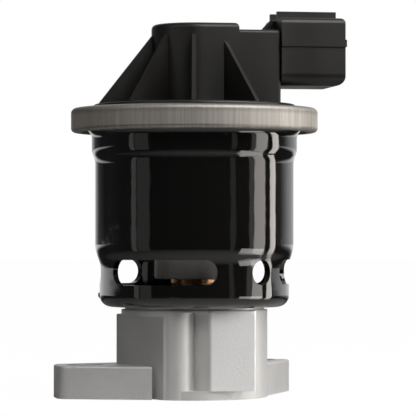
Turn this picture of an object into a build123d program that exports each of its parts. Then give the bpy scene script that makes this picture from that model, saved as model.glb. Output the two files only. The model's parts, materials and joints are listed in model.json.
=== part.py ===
"""Exhaust gas recirculation valve, standing on its mounting face, sizes in millimetres.

The valve axis is Z, the mounting face is z = 0 and the connector points along +X.
"""

import math
import os

from build123d import *

os.makedirs("parts", exist_ok=True)

# Fits, as radial clearances
RUN_FIT = 0.05
ARMATURE_FIT = 0.06
SEAT_FIT = 0.03
SOFT_GAP = 0.3

# Valve travel
LIFT = 4.5

# Base casting
BASE_H = 22.3
COLUMN_R = 18.7
SPIGOT_R = 17.8
SPIGOT_H = 0.7
FLAT_DIST = 15.9
FLAT_DIR = 204.0
FLAT_DROP = 1.4
FLAT_LEFT = 12.2
FLAT_EDGE_R = 1.2
LUG_H = 8.3
LUG_DIRS = (180.0, 45.0)
LUG_HOLE_DIST = 28.3
LUG_HOLE_R = 4.5
LUG_HOLE_CHAMFER = 0.45
LUG_REACH = 35.8
LUG_TIP_HALF = 6.2
LUG_ROOT = 13.1
LUG_ROOT_HALF = 13.9
LUG_ROOT_STEP, LUG_ROOT_BACK = 6.0, 0.3
LUG_CORNER_R = 4.0
LUG_EDGE_R = 0.5
BOSS_X, BOSS_Y, BOSS_R = -6.5, -13.5, 4.1
BOSS_WEB = 0.7
PAD_OUT = 0.6
PAD_LOW, PAD_LEFT, PAD_RIGHT = 2.3, 0.5, 12.6
PAD_EDGE_R, PAD_ROOF = 0.8, 0.5

# Gas passages
INLET_R = 5.5
SEAT_DROP, SEAT_H, SEAT_OUT_R, SEAT_IN_R = 16.8, 4.0, 7.5, 4.6
SEAT_CONE_H = 1.4
CHAMBER_R = 8.3
GUIDE_R = 9.0
OUTLET_X, OUTLET_Y, OUTLET_R = -11.5, 9.0, 5.0
OUTLET_WALL = 2.1
OUTLET_RISE, PASSAGE_RISE, PASSAGE_R, PASSAGE_L = 1.4, 3.5, 3.3, 18.0

# Stem, head and their guides
STEM_R = 2.4
STEM_TAIL_R = 1.9
STEM_TIP = 0.4
HEAD_R = 6.3
HEAD_RIM_H = 0.8
HEAD_BACK_H = 1.2
HEAD_CONE_LOW = 1.6
HEAD_NOSE_R, HEAD_NOSE_H, HEAD_NOSE_EDGE = 1.6, 2.2, 1.2
HEAD_SPARE = 0.67
GUIDE_PLATE_H = 2.4
GUIDE_BOSS_R, GUIDE_BOSS_H = 4.4, 1.6
CUP_WALL = 0.6
CUP_TOP_GAP = 0.1
CUP_HOLE_R = 3.2
CUP_EDGE_R = 1.0

# Screws that hold the shell down
SCREW_DIRS = (60.0, 180.0, 300.0)
SCREW_DIST = 13.6
SCREW_R = 2.0
SCREW_DEPTH = 9.0
SCREW_HOLE_SPARE = 1.6
SCREW_FIT = 0.2
SCREW_HEAD_R, SCREW_HEAD_H = 3.5, 2.6
SCREW_SOCKET_R, SCREW_SOCKET_H = 1.4, 1.4

# Outer shell
SHELL_T = 1.6
SHELL_HOLE_R = 5.6
SHELL_LOW_R = 24.3
STEP1_RISE, STEP1_H, STEP1_OUT, STEP1_SOFT_R = 11.2, 3.4, 1.1, 8.0
STEP2_RISE, STEP2_H, STEP2_OUT, STEP2_SOFT_R = 22.8, 2.2, 0.9, 5.0
SHELL_FOOT_R = 3.0
FLANGE_RISE, FLARE_R, FLANGE_FLAT = 5.8, 2.4, 1.7
WINDOW_RISE, WINDOW_H = 8.9, 6.3
SLOTS = ((-157.0, -85.8), (-37.8, 7.5), (27.0, 68.8), (118.0, 182.0))
ROUND_WINDOWS = (-55.6, 86.6)
PIP_DIR, PIP_RISE, PIP_PROUD, PIP_SKIN = 170.0, 2.95, 0.4, 0.1

# Magnet circuit
YOKE_H = 3.2
YOKE_BOSS_R, YOKE_BOSS_H = 10.2, 7.5
YOKE_BOSS_EDGE = 0.4
BUSH_R, BUSH_DROP, BUSH_H = 6.0, 2.1, 12.0
BUSH_EDGE_R = 1.0
FLUX_TUBE_T = 2.5
FLUX_SEAM = 0.8
FLUX_SEAM_DIR = 30.0
POLE_PLATE_H = 1.6
POLE_RIM_H = 0.3
POLE_BORE_R = 2.2
POLE_POCKET_H = 3.8
SLEEVE_T = 0.64
ARMATURE_R, ARMATURE_H, ARMATURE_EDGE_R = 9.0, 9.5, 0.4
ARMATURE_RISE = 2.2
ARMATURE_POCKET_H = 4.0
AIR_GAP = 0.6
SPRING_POCKET_R = 6.4
NUT_FLATS, NUT_H = 5.5, 2.2
STEM_SPARE = 0.9

# Coil
BOBBIN_WALL, BOBBIN_FLANGE_T, BOBBIN_GAP, BOBBIN_EDGE_R = 1.3, 1.6, 0.5, 0.4
WINDING_INSET = 1.0
COIL_PIN_T, COIL_PIN_W, COIL_PIN_LAP = 0.8, 1.5, 3.0
COIL_PIN_HOLE_R = 1.9

# Springs
RETURN_SPRING_R, RETURN_WIRE_R, RETURN_TURNS = 5.0, 0.55, 4.5
SENSOR_SPRING_R, SENSOR_WIRE_R, SENSOR_TURNS = 2.3, 0.25, 5.0
CLAMP_W, CLAMP_T, CLAMP_RISE = 3.8, 0.6, 0.8

# Cap
CAP_FLANGE_H = 2.8
CAP_DISC_R, CAP_DISC_H = 25.9, 1.9
CAP_DISC_EDGE_R = 0.6
CAP_SPIGOT_GAP, CAP_SPIGOT_EDGE_R = 0.1, 0.4
CAP_SEAT_GAP = 0.2
CAP_RECESS_SPARE, CAP_RECESS_WALL = 0.2, 1.5
GROOVE_RISE, GROOVE_H, GROOVE_DEPTH = 0.8, 2.0, 1.7
SEAL_SPARE, SEAL_EDGE_R = 0.1, 0.7
HUB_WALL = 3.0
POCKET_FLOOR = 4.2
TOWER_R, TOWER_H, TOWER_RIGHT = 11.0, 20.4, 9.7
TOWER_WALL, TOWER_ROOF = 2.0, 2.4
TOWER_EDGE_R = 1.2
BLOCK_RIGHT, BLOCK_HALF, BLOCK_H = 20.7, 10.0, 18.8
BLOCK_CORNER_R = 0.8
BLOCK_WALL, BLOCK_SIDE = 2.4, 1.8
ROOM_LEFT, ROOM_SPARE = 11.0, 0.4
DOOR_LEFT, DOOR_HALF = 6.0, 6.5
RIB_T, RIB_INSET, RIB_H, RIB_FOOT_H, RIB_HEAD = 1.1, 1.2, 17.5, 0.2, 0.1
RIB_FIRST, RIB_PITCH, RIB_COUNT = 60.0, 40.0, 7
JOIN = 0.5

# Connector shroud
SHROUD_RIGHT, SHROUD_RISE, SHROUD_H, SHROUD_HALF = 37.3, 4.7, 17.25, 10.8
SHROUD_MOUTH_TOP_R, SHROUD_MOUTH_LOW_R = 1.3, 2.2
SHROUD_TOP_EDGE_R, SHROUD_LOW_EDGE_R = 1.4, 3.0
SHROUD_WALL, SHROUD_BACK_T = 1.5, 2.6
SHROUD_INNER_R = 1.4
SIDE_RIB_RISE, SIDE_RIB_H, SIDE_RIB_PROUD, SIDE_RIB_LAP = 9.85, 1.8, 0.5, 0.25
LATCH_H, LATCH_END = 1.9, 1.3
LATCH_RAIL_IN, LATCH_RAIL_OUT = 3.6, 5.2
LATCH_BRIDGE_END, LATCH_BRIDGE_L, LATCH_BRIDGE_DIP = 4.1, 2.2, 0.4
RAMP_LEFT, RAMP_TURN, RAMP_DIP, RAMP_T = 16.95, 19.6, 0.25, 1.6

# Terminals
PIN_PITCH, PIN_COUNT = 3.5, 5
PIN_W, PIN_T = 1.5, 0.8
PIN_TIP = 31.0
PIN_TIP_L = 1.0
PIN_LEG_INSET, PIN_LEG_SINK = 4.4, 0.7

# Crimp ring
RING_T, RING_CLEAR, RING_LIP_CLEAR, RING_HOOK = 0.9, 0.3, 0.3, 1.5
RING_TOP_EDGE_R, RING_LOW_EDGE_R, RING_BEND_R = 1.3, 1.1, 0.3

# Position sensor
CARD_X, CARD_T, CARD_HALF, CARD_RISE, CARD_H = 6.3, 1.0, 5.5, 1.0, 20.5
HOLDER_RISE, HOLDER_H = 3.6, 2.5
RAIL_LEFT, RAIL_RIGHT, RAIL_WALL, RAIL_GRIP = 5.3, 8.3, 0.9, 0.8
PLUNGER_R = 1.5
CARRIER_RISE, CARRIER_H, CARRIER_R, CARRIER_FLAT = 8.0, 4.0, 3.2, 2.8
STUB_R, STUB_H = 1.5, 3.0
BRUSH_BASE_T, BRUSH_BASE_H, BRUSH_BASE_HALF = 0.3, 3.0, 1.4
BRUSH_FINGER_T, BRUSH_FINGER_W, BRUSH_PITCH, BRUSH_DROP = 0.25, 1.4, 2.2, 1.8

# Gas side, from the mounting face up
SHELL_LOW = BASE_H + SPIGOT_H
FLAT_TOP = BASE_H - FLAT_DROP
SEAT_LOW = BASE_H - SEAT_DROP
SEAT_TOP = SEAT_LOW + SEAT_H
PASSAGE_Z = SEAT_TOP + PASSAGE_RISE
OUTLET_TOP = PASSAGE_Z + OUTLET_RISE
SEAT_CONE = SEAT_IN_R - (SEAT_TOP - SEAT_CONE_H)
HEAD_CONE = SEAT_CONE - SEAT_FIT
HEAD_RIM_LOW = HEAD_R - HEAD_CONE
HEAD_TOP = HEAD_RIM_LOW + HEAD_RIM_H + HEAD_BACK_H
GUIDE_LOW = HEAD_TOP + LIFT + HEAD_SPARE
GUIDE_TOP = GUIDE_LOW + GUIDE_PLATE_H
SEAL_LOW = GUIDE_TOP + GUIDE_BOSS_H
CUP_TOP = SHELL_LOW - CUP_TOP_GAP
OUTLET_DIR = math.degrees(math.atan2(OUTLET_Y, OUTLET_X))
PAD_Y = -COLUMN_R - PAD_OUT

# Shell, from its floor up to its flange
SHELL_FLOOR = SHELL_LOW + SHELL_T
STEP1_LOW = SHELL_LOW + STEP1_RISE
STEP1_TOP = STEP1_LOW + STEP1_H
STEP2_LOW = STEP1_TOP + STEP2_RISE
STEP2_TOP = STEP2_LOW + STEP2_H
FLANGE_LOW = STEP2_TOP + FLANGE_RISE
FLANGE_TOP = FLANGE_LOW + SHELL_T
SHELL_MID_R = SHELL_LOW_R + STEP1_OUT
SHELL_TOP_R = SHELL_MID_R + STEP2_OUT
SHELL_LOW_IN = SHELL_LOW_R - SHELL_T
SHELL_MID_IN = SHELL_MID_R - SHELL_T
SHELL_TOP_IN = SHELL_TOP_R - SHELL_T
FLANGE_R = SHELL_TOP_R + FLARE_R + FLANGE_FLAT
WINDOW_Z = SHELL_LOW + WINDOW_RISE
PIP_R = (SHELL_T + PIP_PROUD - PIP_SKIN) / 2

# Magnet circuit, from the shell's first step up
YOKE_TOP = STEP1_TOP + YOKE_H
YOKE_BOSS_LOW = STEP1_TOP - YOKE_BOSS_H
BUSH_LOW = YOKE_BOSS_LOW - BUSH_DROP
POLE_LOW = STEP2_TOP - POLE_PLATE_H
POLE_TOP = STEP2_TOP + POLE_RIM_H
ARMATURE_LOW = YOKE_TOP + ARMATURE_RISE
ARMATURE_TOP = ARMATURE_LOW + ARMATURE_H
ARMATURE_SEAT = ARMATURE_TOP - ARMATURE_POCKET_H
POLE_BOSS_LOW = ARMATURE_TOP + LIFT + AIR_GAP
POLE_SEAT = POLE_BOSS_LOW + POLE_POCKET_H
STEM_TOP = ARMATURE_SEAT + NUT_H + STEM_SPARE
SLEEVE_IN = ARMATURE_R + ARMATURE_FIT
SLEEVE_OUT = SLEEVE_IN + SLEEVE_T
BOBBIN_R = SLEEVE_OUT + BOBBIN_WALL
BOBBIN_FLANGE_R = SHELL_MID_IN - FLUX_TUBE_T - BOBBIN_GAP
WINDING_R = BOBBIN_FLANGE_R - WINDING_INSET
CLAMP_TOP = POLE_TOP + CLAMP_RISE + CLAMP_T

# Cap and connector, from the flange up
CAP_SHOULDER = FLANGE_TOP + CAP_FLANGE_H
CAP_TOP = CAP_SHOULDER + CAP_DISC_H
CAP_SPIGOT_R = SHELL_TOP_IN - CAP_SPIGOT_GAP
CAP_SPIGOT_LOW = POLE_TOP + CAP_SEAT_GAP
GROOVE_LOW = CAP_SPIGOT_LOW + GROOVE_RISE
GROOVE_R = CAP_SPIGOT_R - GROOVE_DEPTH
CLAMP_OUT_R = GROOVE_R - CAP_RECESS_WALL - CAP_RECESS_SPARE
CLAMP_IN_R = CLAMP_OUT_R - CLAMP_W
POCKET_TOP = CAP_TOP - POCKET_FLOOR
TOWER_TOP = CAP_TOP + TOWER_H
CAVITY_R = TOWER_R - TOWER_WALL
CAVITY_TOP = TOWER_TOP - TOWER_ROOF
BLOCK_TOP = CAP_TOP + BLOCK_H
RIB_DIRS = [RIB_FIRST + i * RIB_PITCH for i in range(RIB_COUNT)]
SHROUD_LOW = CAP_TOP + SHROUD_RISE
SHROUD_TOP = SHROUD_LOW + SHROUD_H
SHROUD_FLOOR = BLOCK_RIGHT + SHROUD_BACK_T
SIDE_RIB_LOW = SHROUD_LOW + SIDE_RIB_RISE
LATCH_TOP = SHROUD_TOP + LATCH_H
RAMP_TOP = SHROUD_TOP - RAMP_DIP
PIN_Z = (SHROUD_LOW + SHROUD_TOP - PIN_T) / 2
PIN_ROWS = [(i - (PIN_COUNT - 1) / 2) * PIN_PITCH for i in range(PIN_COUNT)]
PIN_LEG_X = CLAMP_IN_R - PIN_LEG_INSET
PIN_LEG_LOW = CAP_TOP - PIN_LEG_SINK
COIL_PIN_X = PIN_LEG_X + PIN_T
COIL_PIN_TOP = PIN_LEG_LOW + COIL_PIN_LAP
RING_R = FLANGE_R + RING_CLEAR + RING_T
RING_IN = RING_R - RING_T

# Position sensor, from the upper pole up
HOLDER_LOW = POLE_TOP + HOLDER_RISE
HOLDER_TOP = HOLDER_LOW + HOLDER_H
CARD_LOW = HOLDER_TOP + CARD_RISE
CARD_TOP = CARD_LOW + CARD_H
ROOM_TOP = CARD_TOP + ROOM_SPARE
CARRIER_LOW = HOLDER_TOP + CARRIER_RISE
CARRIER_TOP = CARRIER_LOW + CARRIER_H


def outline(points, plane=Plane.XZ):
    """Closed face through (x, y) or (x, y, corner radius) points of the plane."""
    corners = []
    for i, point in enumerate(points):
        here = Vector(point[0], point[1])
        radius = point[2] if len(point) > 2 else 0
        if not radius:
            corners.append((here, None, here))
            continue
        back = (Vector(*points[i - 1][:2]) - here).normalized()
        ahead = (Vector(*points[(i + 1) % len(points)][:2]) - here).normalized()
        half = math.acos(back.dot(ahead)) / 2
        reach = radius / math.tan(half)
        middle = here + (back + ahead).normalized() * (radius / math.sin(half) - radius)
        corners.append((here + back * reach, middle, here + ahead * reach))
    with BuildSketch(plane) as face:
        with BuildLine():
            for i, (start, middle, stop) in enumerate(corners):
                if middle is not None:
                    ThreePointArc(start, middle, stop)
                following = corners[(i + 1) % len(corners)][0]
                if (following - stop).length > 1e-6:
                    Line(stop, following)
        make_face()
    return face.sketch


def turn(points, mode=Mode.ADD):
    """Adds or cuts a ring or disc turned about the valve axis from (radius, z) points."""
    revolve(outline(points), axis=Axis.Z, mode=mode)


def drum(radius, low, high, x=0.0, y=0.0, mode=Mode.ADD):
    """Adds or cuts an upright cylinder."""
    with Locations((x, y, low)):
        Cylinder(radius, high - low, align=(Align.CENTER, Align.CENTER, Align.MIN), mode=mode)


def block(x0, x1, y0, y1, z0, z1, mode=Mode.ADD):
    """Adds or cuts a box given by its six faces."""
    with Locations(((x0 + x1) / 2, (y0 + y1) / 2, (z0 + z1) / 2)):
        Box(x1 - x0, y1 - y0, z1 - z0, mode=mode)


def polar(radius, degrees):
    """Point in the plan at a radius and direction."""
    return radius * math.cos(math.radians(degrees)), radius * math.sin(math.radians(degrees))


def radial_plane(degrees):
    """Upright plane through the axis: its x points outward, its y up."""
    return Plane(origin=(0, 0, 0), x_dir=(*polar(1, degrees), 0), z_dir=(*polar(1, degrees - 90), 0))


def coil_spring(mean_r, wire_r, turns, low, high):
    """Adds a helical spring with ground ends between two heights."""
    path = Helix(pitch=(high - low) / turns, height=high - low, radius=mean_r, center=(0, 0, low))
    with BuildSketch(Plane(origin=path @ 0, z_dir=path % 0)) as wire:
        Circle(wire_r)
    sweep(wire.sketch, path=path)
    block(-2 * mean_r, 2 * mean_r, -2 * mean_r, 2 * mean_r, low - mean_r, low, Mode.SUBTRACT)
    block(-2 * mean_r, 2 * mean_r, -2 * mean_r, 2 * mean_r, high, high + mean_r, Mode.SUBTRACT)


# One bolt lug, pointing along +X, with soft top edges
with BuildPart() as bolt_lug:
    extrude(
        outline(
            [
                (LUG_REACH, -LUG_TIP_HALF, LUG_CORNER_R),
                (LUG_REACH, LUG_TIP_HALF, LUG_CORNER_R),
                (LUG_ROOT, LUG_ROOT_HALF),
                (LUG_ROOT - LUG_ROOT_BACK, LUG_ROOT_HALF - LUG_ROOT_STEP),
                (LUG_ROOT - LUG_ROOT_BACK, LUG_ROOT_STEP - LUG_ROOT_HALF),
                (LUG_ROOT, -LUG_ROOT_HALF),
            ],
            Plane.XY,
        ),
        amount=LUG_H,
        dir=(0, 0, 1),
    )
    fillet(bolt_lug.edges().group_by(Axis.Z)[-1], LUG_EDGE_R)

# Base casting: column with a flat, outlet block, boss and pad with a recess between, two lugs
flat_x, flat_y = polar(1, FLAT_DIR)
flat_end = (flat_x * FLAT_DIST + flat_y * FLAT_LEFT, flat_y * FLAT_DIST - flat_x * FLAT_LEFT)
outlet_skin_r = OUTLET_R + OUTLET_WALL
corner_x, corner_y = flat_end[0] - OUTLET_X, flat_end[1] - OUTLET_Y
touch_dir = math.degrees(
    math.atan2(corner_y, corner_x) - math.acos(outlet_skin_r / math.hypot(corner_x, corner_y))
)
touch_x, touch_y = polar(outlet_skin_r, touch_dir)
with BuildPart() as valve_body:
    drum(COLUMN_R, 0, BASE_H)
    with BuildSketch() as cut_side:
        with Locations(Location((flat_x * (FLAT_DIST + COLUMN_R), flat_y * (FLAT_DIST + COLUMN_R)), FLAT_DIR)):
            Rectangle(2 * COLUMN_R, 4 * COLUMN_R)
    extrude(cut_side.sketch, amount=FLAT_TOP, dir=(0, 0, 1), mode=Mode.SUBTRACT)
    extrude(
        outline(
            [
                (flat_x * FLAT_DIST, flat_y * FLAT_DIST),
                (*flat_end, FLAT_EDGE_R),
                (OUTLET_X + touch_x, OUTLET_Y + touch_y),
                (OUTLET_X, OUTLET_Y),
            ],
            Plane.XY,
        ),
        amount=FLAT_TOP,
        dir=(0, 0, 1),
    )
    drum(outlet_skin_r, 0, FLAT_TOP, OUTLET_X, OUTLET_Y)
    web_foot = (BOSS_X + BOSS_R - BOSS_WEB / 2, BOSS_Y - BOSS_WEB)
    extrude(
        outline(
            [web_foot, (PAD_LEFT, PAD_Y), (BOSS_X, PAD_Y), (BOSS_X, BOSS_Y - BOSS_WEB)],
            Plane.XY.offset(PAD_LOW),
        ),
        amount=BASE_H - PAD_ROOF - PAD_LOW,
        dir=(0, 0, 1),
        mode=Mode.SUBTRACT,
    )
    drum(BOSS_R, 0, BASE_H, BOSS_X, BOSS_Y)
    extrude(
        outline(
            [
                (PAD_LEFT, PAD_Y, PAD_EDGE_R),
                (PAD_RIGHT, PAD_Y, PAD_EDGE_R),
                (PAD_RIGHT, PAD_Y / 2),
                (BOSS_X, PAD_Y / 2),
                web_foot,
            ],
            Plane.XY.offset(PAD_LOW),
        ),
        amount=BASE_H - PAD_LOW,
        dir=(0, 0, 1),
    )
    for direction in LUG_DIRS:
        add(bolt_lug.part, rotation=(0, 0, direction))
        hx, hy = polar(LUG_HOLE_DIST, direction)
        drum(LUG_HOLE_R, 0, LUG_H, hx, hy, Mode.SUBTRACT)
        with Locations((hx, hy, LUG_H)):
            Cone(
                LUG_HOLE_R,
                LUG_HOLE_R + LUG_HOLE_CHAMFER,
                LUG_HOLE_CHAMFER,
                align=(Align.CENTER, Align.CENTER, Align.MAX),
                mode=Mode.SUBTRACT,
            )
    drum(SPIGOT_R, BASE_H, SHELL_LOW)
    drum(INLET_R, 0, SEAT_LOW, mode=Mode.SUBTRACT)
    drum(SEAT_OUT_R, SEAT_LOW, SEAT_TOP, mode=Mode.SUBTRACT)
    drum(CHAMBER_R, SEAT_TOP, GUIDE_LOW, mode=Mode.SUBTRACT)
    drum(GUIDE_R, GUIDE_LOW, SHELL_LOW, mode=Mode.SUBTRACT)
    drum(OUTLET_R, 0, OUTLET_TOP, OUTLET_X, OUTLET_Y, Mode.SUBTRACT)
    with Locations(Plane(origin=(0, 0, PASSAGE_Z), z_dir=(*polar(1, OUTLET_DIR), 0))):
        Cylinder(
            PASSAGE_R,
            PASSAGE_L,
            align=(Align.CENTER, Align.CENTER, Align.MIN),
            mode=Mode.SUBTRACT,
        )
    for direction in SCREW_DIRS:
        sx, sy = polar(SCREW_DIST, direction)
        drum(SCREW_R, SHELL_LOW - SCREW_DEPTH - SCREW_HOLE_SPARE, SHELL_LOW, sx, sy, Mode.SUBTRACT)
valve_body.part.label = "valve_body"
export_step(valve_body.part, "parts/valve_body.step")

# Seat ring with a conical seat
with BuildPart() as valve_seat:
    turn(
        [
            (SEAT_IN_R, SEAT_LOW),
            (SEAT_OUT_R, SEAT_LOW),
            (SEAT_OUT_R, SEAT_TOP),
            (SEAT_TOP + SEAT_CONE, SEAT_TOP),
            (SEAT_IN_R, SEAT_TOP - SEAT_CONE_H),
        ]
    )
valve_seat.part.label = "valve_seat"
export_step(valve_seat.part, "parts/valve_seat.step")

# Stem guide bush: a plate pressed in the casting, with a boss up its middle
with BuildPart() as stem_guide_bush:
    turn(
        [
            (STEM_R + RUN_FIT, GUIDE_LOW),
            (GUIDE_R, GUIDE_LOW),
            (GUIDE_R, GUIDE_TOP),
            (GUIDE_BOSS_R, GUIDE_TOP),
            (GUIDE_BOSS_R, SEAL_LOW),
            (STEM_R + RUN_FIT, SEAL_LOW),
        ]
    )
stem_guide_bush.part.label = "stem_guide_bush"
export_step(stem_guide_bush.part, "parts/stem_guide_bush.step")

# Seal ring on the boss
with BuildPart() as stem_seal:
    turn(
        [
            (STEM_R + RUN_FIT, SEAL_LOW),
            (GUIDE_BOSS_R, SEAL_LOW),
            (GUIDE_BOSS_R, CUP_TOP - CUP_WALL),
            (STEM_R + RUN_FIT, CUP_TOP - CUP_WALL),
        ]
    )
stem_seal.part.label = "stem_seal"
export_step(stem_seal.part, "parts/stem_seal.step")

# Pressed cup that keeps the seal ring down
with BuildPart() as seal_cup:
    turn(
        [
            (CUP_HOLE_R, CUP_TOP - CUP_WALL),
            (GUIDE_R - CUP_WALL, CUP_TOP - CUP_WALL, CUP_EDGE_R - CUP_WALL),
            (GUIDE_R - CUP_WALL, GUIDE_TOP),
            (GUIDE_R, GUIDE_TOP),
            (GUIDE_R, CUP_TOP, CUP_EDGE_R),
            (CUP_HOLE_R, CUP_TOP),
        ]
    )
seal_cup.part.label = "seal_cup"
export_step(seal_cup.part, "parts/seal_cup.step")

# Three screws from inside the shell into the casting
with BuildPart() as shell_screws:
    for direction in SCREW_DIRS:
        sx, sy = polar(SCREW_DIST, direction)
        drum(SCREW_R, SHELL_LOW - SCREW_DEPTH, SHELL_FLOOR, sx, sy)
        drum(SCREW_HEAD_R, SHELL_FLOOR, SHELL_FLOOR + SCREW_HEAD_H, sx, sy)
        head_top = SHELL_FLOOR + SCREW_HEAD_H
        with BuildSketch(Plane.XY.offset(head_top - SCREW_SOCKET_H)) as socket:
            with Locations((sx, sy)):
                RegularPolygon(SCREW_SOCKET_R, 6)
        extrude(socket.sketch, amount=SCREW_SOCKET_H, dir=(0, 0, 1), mode=Mode.SUBTRACT)
shell_screws.part.label = "shell_screws"
export_step(shell_screws.part, "parts/shell_screws.step")

# Deep-drawn shell with two soft steps, windows and a rolled flange
with BuildPart() as outer_shell:
    turn(
        [
            (SHELL_HOLE_R, SHELL_LOW),
            (SHELL_LOW_R, SHELL_LOW, SHELL_FOOT_R),
            (SHELL_LOW_R, STEP1_LOW, STEP1_SOFT_R),
            (SHELL_MID_R, STEP1_TOP, STEP1_SOFT_R),
            (SHELL_MID_R, STEP2_LOW, STEP2_SOFT_R),
            (SHELL_TOP_R, STEP2_TOP, STEP2_SOFT_R),
            (SHELL_TOP_R, FLANGE_LOW, FLARE_R),
            (FLANGE_R, FLANGE_LOW),
            (FLANGE_R, FLANGE_TOP),
            (SHELL_TOP_IN, FLANGE_TOP, FLARE_R + SHELL_T),
            (SHELL_TOP_IN, STEP2_TOP),
            (SHELL_MID_IN, STEP2_LOW),
            (SHELL_MID_IN, STEP1_TOP),
            (SHELL_LOW_IN, STEP1_LOW),
            (SHELL_LOW_IN, SHELL_FLOOR, SHELL_FOOT_R - SHELL_T),
            (SHELL_HOLE_R, SHELL_FLOOR),
        ]
    )
    px, py = polar(SHELL_LOW_R + PIP_PROUD - PIP_R, PIP_DIR)
    with Locations((px, py, SHELL_LOW + PIP_RISE)):
        Sphere(PIP_R)
    half = WINDOW_H / 2
    end_angle = math.degrees(math.asin(half / SHELL_LOW_R))
    hole_dirs = list(ROUND_WINDOWS)
    for start, stop in SLOTS:
        hole_dirs += [start + end_angle, stop - end_angle]
        with BuildSketch(radial_plane(start + end_angle)) as band:
            with Locations(((SHELL_LOW_R + SHELL_LOW_IN) / 2, WINDOW_Z)):
                Rectangle(4 * SHELL_T, WINDOW_H)
        revolve(
            band.sketch,
            axis=Axis.Z,
            revolution_arc=stop - start - 2 * end_angle,
            mode=Mode.SUBTRACT,
        )
    for direction in hole_dirs:
        with Locations(Plane(origin=(0, 0, WINDOW_Z), z_dir=(*polar(1, direction), 0))):
            with Locations((0, 0, SHELL_LOW_R)):
                Cylinder(half, 6 * SHELL_T, mode=Mode.SUBTRACT)
    for direction in SCREW_DIRS:
        sx, sy = polar(SCREW_DIST, direction)
        drum(SCREW_R + SCREW_FIT, SHELL_LOW, SHELL_FLOOR, sx, sy, Mode.SUBTRACT)
outer_shell.part.label = "outer_shell"
export_step(outer_shell.part, "parts/outer_shell.step")

# Lower yoke: plate on the shell's step, with a boss down to the windows
with BuildPart() as lower_yoke:
    turn(
        [
            (BUSH_R, YOKE_BOSS_LOW),
            (YOKE_BOSS_R, YOKE_BOSS_LOW, YOKE_BOSS_EDGE),
            (YOKE_BOSS_R, STEP1_TOP),
            (SHELL_MID_IN, STEP1_TOP),
            (SHELL_MID_IN, YOKE_TOP),
            (BUSH_R, YOKE_TOP),
        ]
    )
lower_yoke.part.label = "lower_yoke"
export_step(lower_yoke.part, "parts/lower_yoke.step")

# Bronze bush in the yoke
with BuildPart() as lower_bush:
    turn(
        [
            (STEM_R + RUN_FIT, BUSH_LOW),
            (BUSH_R, BUSH_LOW, BUSH_EDGE_R),
            (BUSH_R, BUSH_LOW + BUSH_H),
            (STEM_R + RUN_FIT, BUSH_LOW + BUSH_H),
        ]
    )
lower_bush.part.label = "lower_bush"
export_step(lower_bush.part, "parts/lower_bush.step")

# Rolled flux tube round the coil, open at its seam
with BuildPart() as yoke_tube:
    turn(
        [
            (SHELL_MID_IN - FLUX_TUBE_T, YOKE_TOP),
            (SHELL_MID_IN, YOKE_TOP),
            (SHELL_MID_IN, POLE_LOW),
            (SHELL_MID_IN - FLUX_TUBE_T, POLE_LOW),
        ]
    )
    seam = Location((*polar(SHELL_MID_IN, FLUX_SEAM_DIR), (YOKE_TOP + POLE_LOW) / 2), (0, 0, FLUX_SEAM_DIR))
    with Locations(seam):
        Box(4 * FLUX_TUBE_T, FLUX_SEAM, POLE_LOW, mode=Mode.SUBTRACT)
yoke_tube.part.label = "yoke_tube"
export_step(yoke_tube.part, "parts/yoke_tube.step")

# Upper pole: plate on the shell's second step, with a boss down the sleeve
pole_edge = SHELL_MID_IN + (POLE_LOW - STEP2_LOW) * (SHELL_TOP_R - SHELL_MID_R) / (STEP2_TOP - STEP2_LOW)
with BuildPart() as upper_pole:
    turn(
        [
            (POLE_BORE_R, POLE_SEAT),
            (SPRING_POCKET_R, POLE_SEAT),
            (SPRING_POCKET_R, POLE_BOSS_LOW),
            (SLEEVE_IN, POLE_BOSS_LOW),
            (SLEEVE_IN, POLE_LOW),
            (pole_edge, POLE_LOW),
            (SHELL_TOP_IN, STEP2_TOP),
            (SHELL_TOP_IN, POLE_TOP),
            (POLE_BORE_R, POLE_TOP),
        ]
    )
    for side in (PIN_ROWS[0], PIN_ROWS[-1]):
        drum(COIL_PIN_HOLE_R, POLE_LOW, POLE_TOP, COIL_PIN_X + COIL_PIN_T / 2, side, Mode.SUBTRACT)
upper_pole.part.label = "upper_pole"
export_step(upper_pole.part, "parts/upper_pole.step")

# Thin sleeve that guides the armature
with BuildPart() as armature_sleeve:
    turn([(SLEEVE_IN, YOKE_TOP), (SLEEVE_OUT, YOKE_TOP), (SLEEVE_OUT, POLE_LOW), (SLEEVE_IN, POLE_LOW)])
armature_sleeve.part.label = "armature_sleeve"
export_step(armature_sleeve.part, "parts/armature_sleeve.step")

# Terminal blades of the coil
with BuildPart() as coil_terminals:
    for side in (PIN_ROWS[0], PIN_ROWS[-1]):
        block(
            COIL_PIN_X,
            COIL_PIN_X + COIL_PIN_T,
            side - COIL_PIN_W / 2,
            side + COIL_PIN_W / 2,
            POLE_LOW - BOBBIN_FLANGE_T,
            COIL_PIN_TOP,
        )
coil_terminals.part.label = "coil_terminals"
export_step(coil_terminals.part, "parts/coil_terminals.step")

# Moulded bobbin
with BuildPart() as coil_bobbin:
    turn(
        [
            (SLEEVE_OUT, YOKE_TOP),
            (BOBBIN_FLANGE_R, YOKE_TOP, BOBBIN_EDGE_R),
            (BOBBIN_FLANGE_R, YOKE_TOP + BOBBIN_FLANGE_T, BOBBIN_EDGE_R),
            (BOBBIN_R, YOKE_TOP + BOBBIN_FLANGE_T),
            (BOBBIN_R, POLE_LOW - BOBBIN_FLANGE_T),
            (BOBBIN_FLANGE_R, POLE_LOW - BOBBIN_FLANGE_T, BOBBIN_EDGE_R),
            (BOBBIN_FLANGE_R, POLE_LOW, BOBBIN_EDGE_R),
            (SLEEVE_OUT, POLE_LOW),
        ]
    )
    add(coil_terminals.part, mode=Mode.SUBTRACT)
coil_bobbin.part.label = "coil_bobbin"
export_step(coil_bobbin.part, "parts/coil_bobbin.step")

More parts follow.
